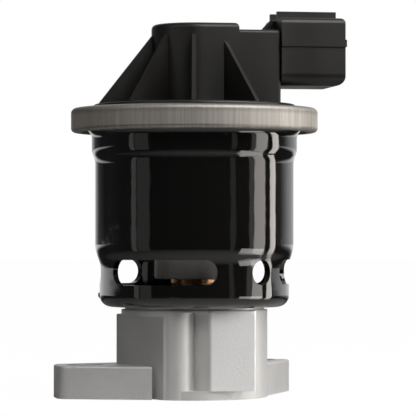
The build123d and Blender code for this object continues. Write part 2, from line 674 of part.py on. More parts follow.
# Winding, one body of wire
with BuildPart() as coil_winding:
    turn(
        [
            (BOBBIN_R, YOKE_TOP + BOBBIN_FLANGE_T),
            (WINDING_R, YOKE_TOP + BOBBIN_FLANGE_T),
            (WINDING_R, POLE_LOW - BOBBIN_FLANGE_T),
            (BOBBIN_R, POLE_LOW - BOBBIN_FLANGE_T),
        ]
    )
coil_winding.part.label = "coil_winding"
export_step(coil_winding.part, "parts/coil_winding.step")

# Armature with a spring pocket
with BuildPart() as armature:
    turn(
        [
            (STEM_TAIL_R, ARMATURE_LOW),
            (ARMATURE_R, ARMATURE_LOW, ARMATURE_EDGE_R),
            (ARMATURE_R, ARMATURE_TOP, ARMATURE_EDGE_R),
            (SPRING_POCKET_R, ARMATURE_TOP),
            (SPRING_POCKET_R, ARMATURE_SEAT),
            (STEM_TAIL_R, ARMATURE_SEAT),
        ]
    )
armature.part.label = "armature"
export_step(armature.part, "parts/armature.step")

# Head with a conical face a hair above the seat
cone_low = SEAT_TOP - HEAD_CONE_LOW
with BuildPart() as valve_head:
    turn(
        [
            (0, cone_low - HEAD_NOSE_H),
            (HEAD_NOSE_R, cone_low - HEAD_NOSE_H, HEAD_NOSE_EDGE),
            (cone_low + HEAD_CONE, cone_low),
            (HEAD_R, HEAD_RIM_LOW),
            (HEAD_R, HEAD_RIM_LOW + HEAD_RIM_H),
            (STEM_R, HEAD_TOP),
            (0, HEAD_TOP),
        ]
    )
valve_head.part.label = "valve_head"
export_step(valve_head.part, "parts/valve_head.step")

# Stem with a thinner tail through the armature
with BuildPart() as valve_stem:
    drum(STEM_R, HEAD_TOP, ARMATURE_LOW)
    drum(STEM_TAIL_R, ARMATURE_LOW, STEM_TOP)
    chamfer(valve_stem.edges().filter_by(GeomType.CIRCLE).sort_by(Axis.Z)[-1], STEM_TIP)
valve_stem.part.label = "valve_stem"
export_step(valve_stem.part, "parts/valve_stem.step")

# Nut on the tail
with BuildPart() as stem_nut:
    with BuildSketch(Plane.XY.offset(ARMATURE_SEAT)) as hexagon:
        RegularPolygon(NUT_FLATS / 2, 6, major_radius=False)
        Circle(STEM_TAIL_R, mode=Mode.SUBTRACT)
    extrude(hexagon.sketch, amount=NUT_H, dir=(0, 0, 1))
stem_nut.part.label = "stem_nut"
export_step(stem_nut.part, "parts/stem_nut.step")

# Return spring between armature and upper pole
with BuildPart() as return_spring:
    coil_spring(RETURN_SPRING_R, RETURN_WIRE_R, RETURN_TURNS, ARMATURE_SEAT, POLE_SEAT)
return_spring.part.label = "return_spring"
export_step(return_spring.part, "parts/return_spring.step")

# Disc spring that holds the coil pack down
with BuildPart() as clamp_spring:
    turn(
        [
            (CLAMP_OUT_R, POLE_TOP),
            (CLAMP_OUT_R, POLE_TOP + CLAMP_T),
            (CLAMP_IN_R, CLAMP_TOP),
            (CLAMP_IN_R, CLAMP_TOP - CLAMP_T),
        ]
    )
clamp_spring.part.label = "clamp_spring"
export_step(clamp_spring.part, "parts/clamp_spring.step")

# O-ring in the cap's groove, pressed oval
with BuildPart() as cap_seal:
    seal_low, seal_top = GROOVE_LOW + SEAL_SPARE, GROOVE_LOW + GROOVE_H - SEAL_SPARE
    turn(
        [
            (GROOVE_R, seal_low, SEAL_EDGE_R),
            (SHELL_TOP_IN, seal_low, SEAL_EDGE_R),
            (SHELL_TOP_IN, seal_top, SEAL_EDGE_R),
            (GROOVE_R, seal_top, SEAL_EDGE_R),
        ]
    )
cap_seal.part.label = "cap_seal"
export_step(cap_seal.part, "parts/cap_seal.step")

# Terminal pins of the connector: three run to the card, the outer two go down to the coil
with BuildPart() as terminal_pins:
    for row in PIN_ROWS:
        outer = row in (PIN_ROWS[0], PIN_ROWS[-1])
        start = PIN_LEG_X if outer else CARD_X + CARD_T
        block(start, PIN_TIP - PIN_TIP_L, row - PIN_W / 2, row + PIN_W / 2, PIN_Z, PIN_Z + PIN_T)
        extrude(
            outline(
                [
                    (PIN_TIP - PIN_TIP_L, PIN_Z),
                    (PIN_TIP, PIN_Z + PIN_T / 4),
                    (PIN_TIP, PIN_Z + PIN_T * 3 / 4),
                    (PIN_TIP - PIN_TIP_L, PIN_Z + PIN_T),
                ],
                Plane.XZ.offset(-row),
            ),
            amount=PIN_W / 2,
            both=True,
        )
        if outer:
            block(
                PIN_LEG_X,
                PIN_LEG_X + PIN_T,
                row - PIN_W / 2,
                row + PIN_W / 2,
                PIN_LEG_LOW,
                PIN_Z + PIN_T,
            )
terminal_pins.part.label = "terminal_pins"
export_step(terminal_pins.part, "parts/terminal_pins.step")

# Block beside the tower, with soft outer edges
with BuildPart() as side_block:
    block(0, BLOCK_RIGHT, -BLOCK_HALF, BLOCK_HALF, CAP_TOP - JOIN, BLOCK_TOP)
    fillet(side_block.edges().filter_by(Axis.Z).group_by(Axis.X)[-1], BLOCK_CORNER_R)
    fillet(side_block.edges().filter_by(Axis.X).group_by(Axis.Z)[-1], BLOCK_CORNER_R)

# Connector shroud with its side ribs, latch rails and mouth
with BuildPart() as shroud:
    extrude(
        outline(
            [
                (-SHROUD_HALF, SHROUD_LOW, SHROUD_LOW_EDGE_R),
                (SHROUD_HALF, SHROUD_LOW, SHROUD_LOW_EDGE_R),
                (SHROUD_HALF, SHROUD_TOP, SHROUD_TOP_EDGE_R),
                (-SHROUD_HALF, SHROUD_TOP, SHROUD_TOP_EDGE_R),
            ],
            Plane.YZ.offset(BLOCK_RIGHT),
        ),
        amount=SHROUD_RIGHT - BLOCK_RIGHT,
        dir=(1, 0, 0),
    )
    extrude(
        outline(
            [
                (BLOCK_RIGHT, SHROUD_LOW),
                (SHROUD_RIGHT, SHROUD_LOW, SHROUD_MOUTH_LOW_R),
                (SHROUD_RIGHT, SHROUD_TOP, SHROUD_MOUTH_TOP_R),
                (BLOCK_RIGHT, SHROUD_TOP),
            ]
        ),
        amount=SHROUD_HALF,
        both=True,
        mode=Mode.INTERSECT,
    )
    for side in (-1, 1):
        inner, outer = sorted((side * (SHROUD_HALF - SHROUD_WALL / 2), side * (SHROUD_HALF + SIDE_RIB_PROUD)))
        block(
            BLOCK_RIGHT, SHROUD_RIGHT + SIDE_RIB_LAP, inner, outer, SIDE_RIB_LOW, SIDE_RIB_LOW + SIDE_RIB_H
        )
        inner, outer = sorted((side * LATCH_RAIL_IN, side * LATCH_RAIL_OUT))
        block(
            BLOCK_RIGHT, SHROUD_RIGHT - LATCH_END, inner, outer, SHROUD_TOP - SHROUD_WALL / 2, LATCH_TOP
        )
    block(
        SHROUD_RIGHT - LATCH_BRIDGE_END - LATCH_BRIDGE_L,
        SHROUD_RIGHT - LATCH_BRIDGE_END,
        -LATCH_RAIL_IN,
        LATCH_RAIL_IN,
        SHROUD_TOP - SHROUD_WALL / 2,
        LATCH_TOP - LATCH_BRIDGE_DIP,
    )
    with BuildSketch(Plane.YZ.offset(SHROUD_FLOOR)) as mouth:
        with Locations((0, (SHROUD_LOW + SHROUD_TOP) / 2)):
            RectangleRounded(2 * (SHROUD_HALF - SHROUD_WALL), SHROUD_H - 2 * SHROUD_WALL, SHROUD_INNER_R)
    extrude(mouth.sketch, amount=SHROUD_RIGHT, dir=(1, 0, 0), mode=Mode.SUBTRACT)

# Cap: flange and spigot, gusseted tower, block and connector shroud
with BuildPart() as top_cap:
    turn(
        [
            (0, CAP_SPIGOT_LOW),
            (CAP_SPIGOT_R, CAP_SPIGOT_LOW, CAP_SPIGOT_EDGE_R),
            (CAP_SPIGOT_R, GROOVE_LOW),
            (GROOVE_R, GROOVE_LOW),
            (GROOVE_R, GROOVE_LOW + GROOVE_H),
            (CAP_SPIGOT_R, GROOVE_LOW + GROOVE_H),
            (CAP_SPIGOT_R, FLANGE_TOP),
            (FLANGE_R, FLANGE_TOP),
            (FLANGE_R, CAP_SHOULDER),
            (CAP_DISC_R, CAP_SHOULDER),
            (CAP_DISC_R, CAP_TOP, CAP_DISC_EDGE_R),
            (0, CAP_TOP),
        ]
    )
    with BuildSketch(Plane.XY.offset(CAP_TOP)) as tower_plan:
        Circle(TOWER_R)
        with Locations((TOWER_RIGHT / 2, 0)):
            Rectangle(TOWER_RIGHT, 2 * TOWER_R)
        with Locations((TOWER_RIGHT + TOWER_R, 0)):
            Rectangle(2 * TOWER_R, 2 * TOWER_R, mode=Mode.SUBTRACT)
    extrude(tower_plan.sketch, amount=TOWER_H, dir=(0, 0, 1))
    fillet(top_cap.edges().filter_by_position(Axis.Z, TOWER_TOP - 0.01, TOWER_TOP + 0.01), TOWER_EDGE_R)
    add(side_block.part)
    for direction in RIB_DIRS:
        extrude(
            outline(
                [
                    (CAVITY_R + TOWER_WALL / 2, CAP_TOP - JOIN),
                    (CAP_DISC_R - RIB_INSET, CAP_TOP - JOIN),
                    (CAP_DISC_R - RIB_INSET, CAP_TOP + RIB_FOOT_H),
                    (TOWER_R + RIB_HEAD, CAP_TOP + RIB_H),
                    (CAVITY_R + TOWER_WALL / 2, CAP_TOP + RIB_H),
                ],
                radial_plane(direction),
            ),
            amount=RIB_T / 2,
            both=True,
        )
    add(shroud.part)
    extrude(
        outline(
            [
                (RAMP_LEFT, BLOCK_TOP - JOIN),
                (RAMP_LEFT, BLOCK_TOP),
                (RAMP_TURN, RAMP_TOP),
                (BLOCK_RIGHT, RAMP_TOP),
                (BLOCK_RIGHT, BLOCK_TOP - JOIN),
            ]
        ),
        amount=RAMP_T / 2,
        both=True,
    )
    drum(CAVITY_R, CAP_SPIGOT_LOW, CAVITY_TOP, mode=Mode.SUBTRACT)
    turn(
        [
            (CLAMP_IN_R - CAP_RECESS_SPARE, CAP_SPIGOT_LOW),
            (CLAMP_OUT_R + CAP_RECESS_SPARE, CAP_SPIGOT_LOW),
            (CLAMP_OUT_R + CAP_RECESS_SPARE, CLAMP_TOP),
            (CLAMP_IN_R - CAP_RECESS_SPARE, CLAMP_TOP),
        ],
        Mode.SUBTRACT,
    )
    turn(
        [
            (CAVITY_R + HUB_WALL, CAP_SPIGOT_LOW),
            (CLAMP_IN_R - CAP_RECESS_SPARE, CAP_SPIGOT_LOW),
            (CLAMP_IN_R - CAP_RECESS_SPARE, POCKET_TOP),
            (CAVITY_R + HUB_WALL, POCKET_TOP),
        ],
        Mode.SUBTRACT,
    )
    room_half = BLOCK_HALF - BLOCK_SIDE
    block(ROOM_LEFT, BLOCK_RIGHT - BLOCK_WALL, -room_half, room_half, POCKET_TOP, ROOM_TOP, Mode.SUBTRACT)
    block(DOOR_LEFT, ROOM_LEFT, -DOOR_HALF, DOOR_HALF, HOLDER_TOP, ROOM_TOP, Mode.SUBTRACT)
    add(terminal_pins.part, mode=Mode.SUBTRACT)
top_cap.part.label = "top_cap"
export_step(top_cap.part, "parts/top_cap.step")

# Crimped band over both flanges
with BuildPart() as crimp_ring:
    turn(
        [
            (CAP_DISC_R + RING_LIP_CLEAR, CAP_SHOULDER),
            (RING_IN, CAP_SHOULDER, RING_BEND_R),
            (RING_IN, FLANGE_LOW, RING_BEND_R),
            (RING_IN - RING_HOOK, FLANGE_LOW),
            (RING_IN - RING_HOOK, FLANGE_LOW - RING_T),
            (RING_R, FLANGE_LOW - RING_T, RING_LOW_EDGE_R),
            (RING_R, CAP_SHOULDER + RING_T, RING_TOP_EDGE_R),
            (CAP_DISC_R + RING_LIP_CLEAR, CAP_SHOULDER + RING_T),
        ]
    )
crimp_ring.part.label = "crimp_ring"
export_step(crimp_ring.part, "parts/crimp_ring.step")

# Sensor card
with BuildPart() as sensor_card:
    block(CARD_X, CARD_X + CARD_T, -CARD_HALF, CARD_HALF, CARD_LOW, CARD_TOP)
sensor_card.part.label = "sensor_card"
export_step(sensor_card.part, "parts/sensor_card.step")

# Holder: guide plate with two grooved rails for the card
with BuildPart() as sensor_holder:
    drum(CAVITY_R, HOLDER_LOW, HOLDER_TOP)
    drum(PLUNGER_R + RUN_FIT, HOLDER_LOW, HOLDER_TOP, mode=Mode.SUBTRACT)
    for side in (-1, 1):
        inner, outer = sorted((side * (CARD_HALF - RAIL_GRIP), side * (CARD_HALF + RAIL_WALL)))
        block(RAIL_LEFT, RAIL_RIGHT, inner, outer, HOLDER_TOP, CARD_TOP)
    block(CARD_X, CARD_X + CARD_T, -CARD_HALF, CARD_HALF, CARD_LOW, CARD_TOP, Mode.SUBTRACT)
sensor_holder.part.label = "sensor_holder"
export_step(sensor_holder.part, "parts/sensor_holder.step")

# Plunger with the brush carrier
with BuildPart() as sensor_plunger:
    drum(PLUNGER_R, STEM_TOP, CARRIER_LOW)
    drum(CARRIER_R, CARRIER_LOW, CARRIER_TOP)
    block(CARRIER_FLAT, 2 * CARRIER_R, -CARRIER_R, CARRIER_R, CARRIER_LOW, CARRIER_TOP, Mode.SUBTRACT)
    drum(STUB_R, CARRIER_TOP, CARRIER_TOP + STUB_H)
sensor_plunger.part.label = "sensor_plunger"
export_step(sensor_plunger.part, "parts/sensor_plunger.step")

# Wiper brush: a base plate with two sprung fingers
base_low = CARRIER_LOW + (CARRIER_H - BRUSH_BASE_H) / 2
base_top = base_low + BRUSH_BASE_H
base_x = CARRIER_FLAT + BRUSH_BASE_T
tip_x = CARD_X - SOFT_GAP
bend_z = base_top - BRUSH_DROP
heel = BRUSH_FINGER_T / 2
with BuildPart() as wiper_brush:
    block(CARRIER_FLAT, base_x, -BRUSH_BASE_HALF, BRUSH_BASE_HALF, base_low, base_top)
    for row in (-BRUSH_PITCH / 2, BRUSH_PITCH / 2):
        extrude(
            outline(
                [
                    (base_x - heel, base_top),
                    (base_x - heel, base_top - 2 * BRUSH_FINGER_T),
                    (base_x + heel, base_top - 2 * BRUSH_FINGER_T),
                    (tip_x - BRUSH_FINGER_T, bend_z, BRUSH_FINGER_T),
                    (tip_x - 3 * BRUSH_FINGER_T, bend_z - 3 * BRUSH_FINGER_T),
                    (tip_x - 2 * BRUSH_FINGER_T, bend_z - 4 * BRUSH_FINGER_T),
                    (tip_x, bend_z, 2 * BRUSH_FINGER_T),
                    (base_x + heel, base_top),
                ],
                Plane.XZ.offset(-row),
            ),
            amount=BRUSH_FINGER_W / 2,
            both=True,
        )
wiper_brush.part.label = "wiper_brush"
export_step(wiper_brush.part, "parts/wiper_brush.step")

# Light spring over the plunger
with BuildPart() as sensor_spring:
    coil_spring(SENSOR_SPRING_R, SENSOR_WIRE_R, SENSOR_TURNS, CARRIER_TOP, CAVITY_TOP)
sensor_spring.part.label = "sensor_spring"
export_step(sensor_spring.part, "parts/sensor_spring.step")
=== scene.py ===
"""Looks of an exhaust gas recirculation valve: finishes, studio and camera."""

import json
import math

import bpy
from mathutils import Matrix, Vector

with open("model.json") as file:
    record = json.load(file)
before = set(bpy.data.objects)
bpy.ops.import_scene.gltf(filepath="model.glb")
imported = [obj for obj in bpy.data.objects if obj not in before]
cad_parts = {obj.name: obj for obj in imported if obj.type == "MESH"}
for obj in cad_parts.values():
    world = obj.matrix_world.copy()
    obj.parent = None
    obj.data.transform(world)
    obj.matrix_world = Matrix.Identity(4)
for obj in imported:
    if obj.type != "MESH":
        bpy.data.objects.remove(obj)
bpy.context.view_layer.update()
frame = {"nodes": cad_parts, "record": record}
MM = 0.001
WHITE = (1.0, 1.0, 1.0, 1.0)

# Camera of the photograph, in a view frame whose x runs right and y away from the lens
PICTURE = 416
FOCAL_PX = 2660.0
HORIZON_PX = 236.0
SENSOR_MM = 36.0
VIEW_TURN = math.radians(-10.0)
CAMERA_X, CAMERA_Y, CAMERA_Z = 3.5 * MM, -682.0 * MM, 41.05 * MM
CLIP_START = 10.0 * MM

# Places on the part that its finishes follow
SHELL_R, BAND_R = 25.0 * MM, 31.6 * MM
BAND_BEND_LOW, BAND_BEND_TOP = 71.4 * MM, 72.6 * MM
PAD_FACE, PAD_LEFT, PAD_RIGHT = -19.1 * MM, 0.9 * MM, 12.2 * MM
PAD_DEPTH, PAD_EDGE = 0.2 * MM, 0.4 * MM
WIRE_PITCH = 0.5 * MM

# Floor, with distances from the valve axis in metres
FLOOR_HALF, FLOOR_DROP = 4.0, 0.2 * MM
FLOOR_TONE, FLOOR_WHITE, FLOOR_COVER = 0.5, 1.02, 0.97
POOL_NEAR, POOL_FAR, POOL_TONE = 0.03, 0.16, 0.5
OPEN_NEAR, OPEN_FAR, OPEN_WHITE = 0.35, 0.75, 0.75

# World, with azimuths from the lens, and edges as cosines of the angle from a glow's middle
AMBIENT, DARK_ROOM = 0.03, 0.02
BACK_AZIMUTH, BACK_EDGE, BACK_FULL, BACK_GLOW = 166.0, 0.64, 0.88, 0.5
HAZE_EDGE, HAZE_GLOW = 0.25, 0.07
BACK_LOWEST_RISE = -0.15
SIDE_AZIMUTH, SIDE_EDGE, SIDE_FULL, SIDE_GLOW = -100.0, 0.80, 0.95, 0.035
CEILING_EDGE, CEILING_FULL, CEILING_GLOW = 0.45, 0.9, 0.22

# Lamps
AIM = Vector((0.0, 0.0, 45.0 * MM))
STRIP_DISTANCE, STRIP_Z = 0.9, 0.20
KEY_HEIGHT, FILL_HEIGHT = 1.2, 1.0
KEY_TINT = (1.0, 0.955, 0.905)
FILL_TINT = (1.0, 0.985, 0.965)


def from_view(x, y, z=0.0):
    """A direction or place of the view frame, in the part's frame."""
    c, s = math.cos(VIEW_TURN), math.sin(VIEW_TURN)
    return Vector((c * x - s * y, s * x + c * y, z))


def around(azimuth, distance=1.0, z=0.0):
    """A place at an azimuth from the lens direction, positive to the right."""
    a = math.radians(azimuth)
    return from_view(distance * math.sin(a), -distance * math.cos(a), z)


class Shader:
    """Small helper that adds and joins the nodes of one material or world."""

    def __init__(self, owner):
        owner.use_nodes = True
        self.tree = owner.node_tree
        self.tree.nodes.clear()
        self.coordinates = None

    def add(self, kind, inputs=None, **settings):
        """A new node, its inputs linked where they are sockets and set otherwise."""
        node = self.tree.nodes.new(kind)
        for name, value in settings.items():
            setattr(node, name, value)
        for name, value in (inputs or {}).items():
            if isinstance(value, bpy.types.NodeSocket):
                self.tree.links.new(value, node.inputs[name])
            else:
                node.inputs[name].default_value = value
        return node

    def math(self, operation, *values):
        return self.add("ShaderNodeMath", dict(enumerate(values)), operation=operation).outputs[0]

    def chain(self, operation, value, *others):
        """The same operation over several values, such as their product."""
        for other in others:
            value = self.math(operation, value, other)
        return value

    def vector_math(self, operation, *values):
        """A vector or, for a length or a dot product, a number."""
        node = self.add("ShaderNodeVectorMath", dict(enumerate(values)), operation=operation)
        return node.outputs["Value" if operation in ("LENGTH", "DOT_PRODUCT") else "Vector"]

    def place(self):
        """Object coordinates, in metres in the part's frame."""
        if self.coordinates is None:
            self.coordinates = self.add("ShaderNodeTexCoord").outputs["Object"]
        return self.coordinates

    def split(self, vector):
        """The x, y and z of a vector."""
        return tuple(self.add("ShaderNodeSeparateXYZ", {0: vector}).outputs)

    def wrapped(self, radius):
        """Coordinates unrolled from the valve axis: along the girth, up, and out."""
        x, y, z = self.split(self.place())
        girth = self.math("MULTIPLY", self.math("ARCTAN2", y, x), radius)
        squares = self.math("ADD", self.math("MULTIPLY", x, x), self.math("MULTIPLY", y, y))
        out = self.math("SQRT", squares)
        return self.add("ShaderNodeCombineXYZ", {0: girth, 1: z, 2: out}).outputs[0]

    def stretched(self, vector, factors):
        return self.add("ShaderNodeMapping", {"Vector": vector, "Scale": factors}).outputs[0]

    def noise(self, scale, detail=4.0, roughness=0.55, vector=None):
        """Even noise from 0 to 1, its scale in waves to the metre."""
        inputs = {"Scale": scale, "Detail": detail, "Roughness": roughness}
        inputs["Vector"] = self.place() if vector is None else vector
        return self.add("ShaderNodeTexNoise", inputs).outputs["Fac"]

    def grain(self, vector, factors, detail, roughness):
        """Noise with its own scale along each axis of the vector."""
        return self.noise(1.0, detail, roughness, self.stretched(vector, factors))

    def remap(self, value, low, high, start=0.0, stop=1.0):
        """Value from low..high to start..stop, held at the ends."""
        node = self.add("ShaderNodeMapRange", {0: value, 1: low, 2: high, 3: start, 4: stop})
        return node.outputs[0]

    def mix(self, factor, first, second):
        """Two colours mixed. The node's colour sockets are its inputs 6 and 7 and its output 2."""
        inputs = {0: factor}
        for index, colour in ((6, first), (7, second)):
            inputs[index] = (*colour, 1.0) if isinstance(colour, tuple) else colour
        return self.add("ShaderNodeMix", inputs, data_type="RGBA").outputs[2]

    def bump(self, height, strength, depth, below=None):
        """A normal raised by the height, on top of another bump where one is given."""
        inputs = {"Height": height, "Strength": strength, "Distance": depth}
        if below is not None:
            inputs["Normal"] = below
        return self.add("ShaderNodeBump", inputs).outputs[0]

    def principled(self, **values):
        """The main shader of a finish, with its inputs by name, and the output."""
        inputs = {}
        for key, value in values.items():
            inputs[key.replace("_", " ").title().replace("Ior", "IOR")] = value
        main = self.add("ShaderNodeBsdfPrincipled", inputs)
        self.add("ShaderNodeOutputMaterial", {"Surface": main.outputs[0]})

    def diffuse(self, tone):
        return self.add("ShaderNodeBsdfDiffuse", {"Color": (tone, tone, tone, 1.0)}).outputs[0]

    def emission(self, strength):
        return self.add("ShaderNodeEmission", {"Color": WHITE, "Strength": strength}).outputs[0]

    def blend(self, factor, first, second):
        """Two shaders mixed."""
        return self.add("ShaderNodeMixShader", {0: factor, 1: first, 2: second}).outputs[0]

    def rays(self):
        """Whether a ray comes straight from the lens, and whether it is a mirror's."""
        path = self.add("ShaderNodeLightPath").outputs
        straight = self.math("MAXIMUM", path["Is Camera Ray"], path["Is Transmission Ray"])
        return straight, path["Is Glossy Ray"]


# Finishes


def cast_aluminium(s):
    """Blasted die casting: fine even grain, faint flow, a few pits, and a pad made paler, partly
    as a machined face and partly as a painted highlight.
    """
    grey, pale = (0.72, 0.718, 0.71), (0.79, 0.788, 0.78)
    pit_tone, milled_highlight_tone = (0.26, 0.25, 0.235), (0.95, 0.95, 0.95)
    flow = s.noise(90.0, detail=3.0, roughness=0.5)
    fine = s.noise(2400.0, detail=3.0, roughness=0.6)
    coarse = s.noise(1400.0, detail=3.0, roughness=0.6)
    pits = s.remap(s.noise(1900.0, detail=2.0, roughness=0.5), 0.73, 0.80, 0.0, 0.45)
    x, y, _ = s.split(s.place())
    # Painted highlight: the front pad gets a near-white tone, partly for a machined face and
    # partly standing in for the light it catches.
    milled_pad_highlight = s.chain(
        "MULTIPLY",
        s.remap(y, PAD_FACE, PAD_FACE + PAD_DEPTH, 1.0, 0.0),
        s.remap(x, PAD_LEFT, PAD_LEFT + PAD_EDGE),
        s.remap(x, PAD_RIGHT - PAD_EDGE, PAD_RIGHT, 1.0, 0.0),
    )
    tone = s.mix(s.remap(flow, 0.3, 0.7), grey, pale)
    tone = s.mix(pits, tone, pit_tone)
    skin = s.bump(fine, strength=0.7, depth=0.06 * MM)
    s.principled(
        metallic=0.85,
        base_color=s.mix(milled_pad_highlight, tone, milled_highlight_tone),
        roughness=s.remap(fine, 0.3, 0.7, 0.46, 0.58),
        normal=s.bump(coarse, strength=0.2, depth=0.08 * MM, below=skin),
    )


def black_paint(s):
    """Dipped gloss paint over deep-drawn steel, slightly wavy."""
    deep, thin = (0.0034, 0.0032, 0.0030), (0.0046, 0.0043, 0.0040)
    wave = s.grain(s.wrapped(SHELL_R), (160.0, 120.0, 55.0), detail=2.0, roughness=0.45)
    smear = s.noise(70.0, detail=2.0, roughness=0.5)
    s.principled(
        ior=1.52,
        coat_weight=1.0,
        coat_roughness=0.035,
        base_color=s.mix(s.noise(60.0, detail=2.0), deep, thin),
        roughness=s.remap(smear, 0.3, 0.7, 0.05, 0.075),
        normal=s.bump(wave, strength=0.5, depth=0.3 * MM),
    )


def stainless(s):
    """Band brushed across its width: fine upright lines, and painted shade that darkens the top of
    the band.
    """
    grey, pale = (0.50, 0.475, 0.44), (0.62, 0.595, 0.56)
    line_tone, bend_shade_tone = (0.32, 0.295, 0.26), (0.20, 0.19, 0.175)
    girth = s.wrapped(BAND_R)
    fine = s.grain(girth, (3800.0, 90.0, 90.0), detail=3.0, roughness=0.6)
    lines = s.grain(girth, (1700.0, 40.0, 40.0), detail=3.0, roughness=0.65)
    patches = s.grain(girth, (120.0, 20.0, 20.0), detail=2.0, roughness=0.5)
    # Painted shade: the base colour darkens over the top rounding of the band, to dim the light on
    # it.
    bend_shade = s.remap(s.split(s.place())[2], BAND_BEND_LOW, BAND_BEND_TOP, 0.0, 0.55)
    tone = s.mix(s.remap(patches, 0.3, 0.7), grey, pale)
    tone = s.mix(s.remap(lines, 0.40, 0.70, 0.0, 0.6), tone, line_tone)
    skin = s.bump(lines, strength=0.5, depth=0.12 * MM)
    s.principled(
        metallic=1.0,
        anisotropic=0.5,
        base_color=s.mix(bend_shade, tone, bend_shade_tone),
        roughness=s.remap(fine, 0.3, 0.7, 0.50, 0.62),
        normal=s.bump(fine, strength=0.5, depth=0.04 * MM, below=skin),
    )


def moulded(s, light, dark, roughness, spark_scale=2600.0, spark=0.25):
    """Injection-moulded plastic: fine spark grain, faint flow marks."""
    flow = s.grain(s.place(), (90.0, 90.0, 22.0), detail=3.0, roughness=0.6)
    fine = s.noise(spark_scale, detail=2.0, roughness=0.5)
    skin = s.bump(fine, strength=spark, depth=0.04 * MM)
    s.principled(
        ior=1.48,
        base_color=s.mix(s.remap(flow, 0.3, 0.75), dark, light),
        roughness=s.remap(flow, 0.3, 0.7, roughness - 0.05, roughness + 0.06),
        normal=s.bump(flow, strength=0.12, depth=0.3 * MM, below=skin),
    )


def metal(s, light, dark, roughness, scale=600.0, bump=0.2, upright=1.0, metallic=1.0):
    """Bare metal with a turned, drawn or sintered grain."""
    fine = s.grain(s.place(), (scale, scale, upright * scale), detail=4.0, roughness=0.6)
    patches = s.noise(180.0, detail=3.0, roughness=0.5)
    s.principled(
        metallic=metallic,
        base_color=s.mix(s.remap(patches, 0.3, 0.75), dark, light),
        roughness=s.remap(fine, 0.3, 0.7, roughness - 0.06, roughness + 0.08),
        normal=s.bump(fine, strength=bump, depth=0.05 * MM),
    )


def winding(s):
    """Enamelled wire: one ridge for each layer of turns, with painted shade in the gaps between
    them.
    """
    gap_shade_tone, wire_tone, worn_tone = (0.16, 0.05, 0.02), (0.70, 0.27, 0.11), (0.45, 0.16, 0.07)
    height = s.split(s.place())[2]
    ridge = s.math("ABSOLUTE", s.math("SINE", s.math("MULTIPLY", height, math.pi / WIRE_PITCH)))
    patches = s.noise(260.0, detail=3.0)
    # Painted shade: the colour goes dark between the ridges, where the turns shade each other.
    tone = s.mix(s.remap(ridge, 0.0, 0.6), gap_shade_tone, wire_tone)
    s.principled(
        metallic=1.0,
        coat_weight=0.6,
        coat_roughness=0.15,
        base_color=s.mix(s.remap(patches, 0.4, 0.7, 0.0, 0.3), tone, worn_tone),
        roughness=s.remap(patches, 0.3, 0.7, 0.25, 0.4),
        normal=s.bump(ridge, strength=0.8, depth=0.2 * MM),
    )


def rubber(s):
    """Satin rubber with a fine bloom."""
    deep, bloom = (0.012, 0.012, 0.012), (0.022, 0.021, 0.020)
    fine = s.noise(1800.0, detail=3.0)
    s.principled(
        ior=1.5,
        base_color=s.mix(s.remap(fine, 0.3, 0.7), deep, bloom),
        roughness=s.remap(fine, 0.3, 0.7, 0.45, 0.65),
        normal=s.bump(fine, strength=0.3, depth=0.05 * MM),
    )


finishes = {}


def finish(slot, make, *tones, **values):
    """The material of a slot, made by one of the functions above."""
    finishes[slot] = bpy.data.materials.new(slot)
    make(Shader(finishes[slot]), *tones, **values)


finish("cast_aluminium", cast_aluminium)
finish("black_paint", black_paint)
finish("stainless", stainless)
finish("cap_plastic", moulded, (0.012, 0.0112, 0.0105), (0.0085, 0.008, 0.0075), roughness=0.36)
finish("bobbin_plastic", moulded, (0.05, 0.05, 0.05), (0.035, 0.035, 0.035), roughness=0.45)
finish("holder_plastic", moulded, (0.52, 0.48, 0.40), (0.44, 0.41, 0.34), roughness=0.42)
finish(
    "card_ceramic",
    moulded,
    (0.58, 0.53, 0.45),
    (0.50, 0.46, 0.39),
    roughness=0.6,
    spark_scale=3200.0,
    spark=0.4,
)
finish("seal_graphite", moulded, (0.05, 0.05, 0.05), (0.03, 0.03, 0.03), roughness=0.55)
finish("seat_steel", metal, (0.46, 0.46, 0.47), (0.38, 0.38, 0.39), roughness=0.30)
finish(
    "sintered_iron",
    metal,
    (0.30, 0.28, 0.26),
    (0.22, 0.21, 0.20),
    roughness=0.55,
    scale=1600.0,
    bump=0.5,
)
finish(
    "bright_steel",
    metal,
    (0.60, 0.60, 0.61),
    (0.50, 0.50, 0.51),
    roughness=0.24,
    scale=900.0,
    bump=0.15,
    upright=6.0,
)
finish("zinc_plate", metal, (0.66, 0.66, 0.63), (0.54, 0.55, 0.54), roughness=0.34, scale=700.0)
finish(
    "pole_steel",
    metal,
    (0.74, 0.73, 0.71),
    (0.58, 0.57, 0.56),
    roughness=0.5,
    scale=1700.0,
    bump=0.9,
    metallic=0.3,
)
finish(
    "bronze",
    metal,
    (0.78, 0.47, 0.26),
    (0.58, 0.30, 0.14),
    roughness=0.28,
    scale=900.0,
    upright=5.0,
)
finish("spring_steel", metal, (0.45, 0.45, 0.46), (0.34, 0.34, 0.35), roughness=0.30, scale=1200.0)
finish("tinned_brass", metal, (0.72, 0.69, 0.60), (0.62, 0.58, 0.48), roughness=0.28, scale=1200.0)
finish("copper_wire", winding)
finish("black_rubber", rubber)

for entry in frame["record"]["subparts"]:
    piece = frame["nodes"][entry["node"]]
    piece.data.materials.clear()
    piece.data.materials.append(finishes[entry["material_slot"]])

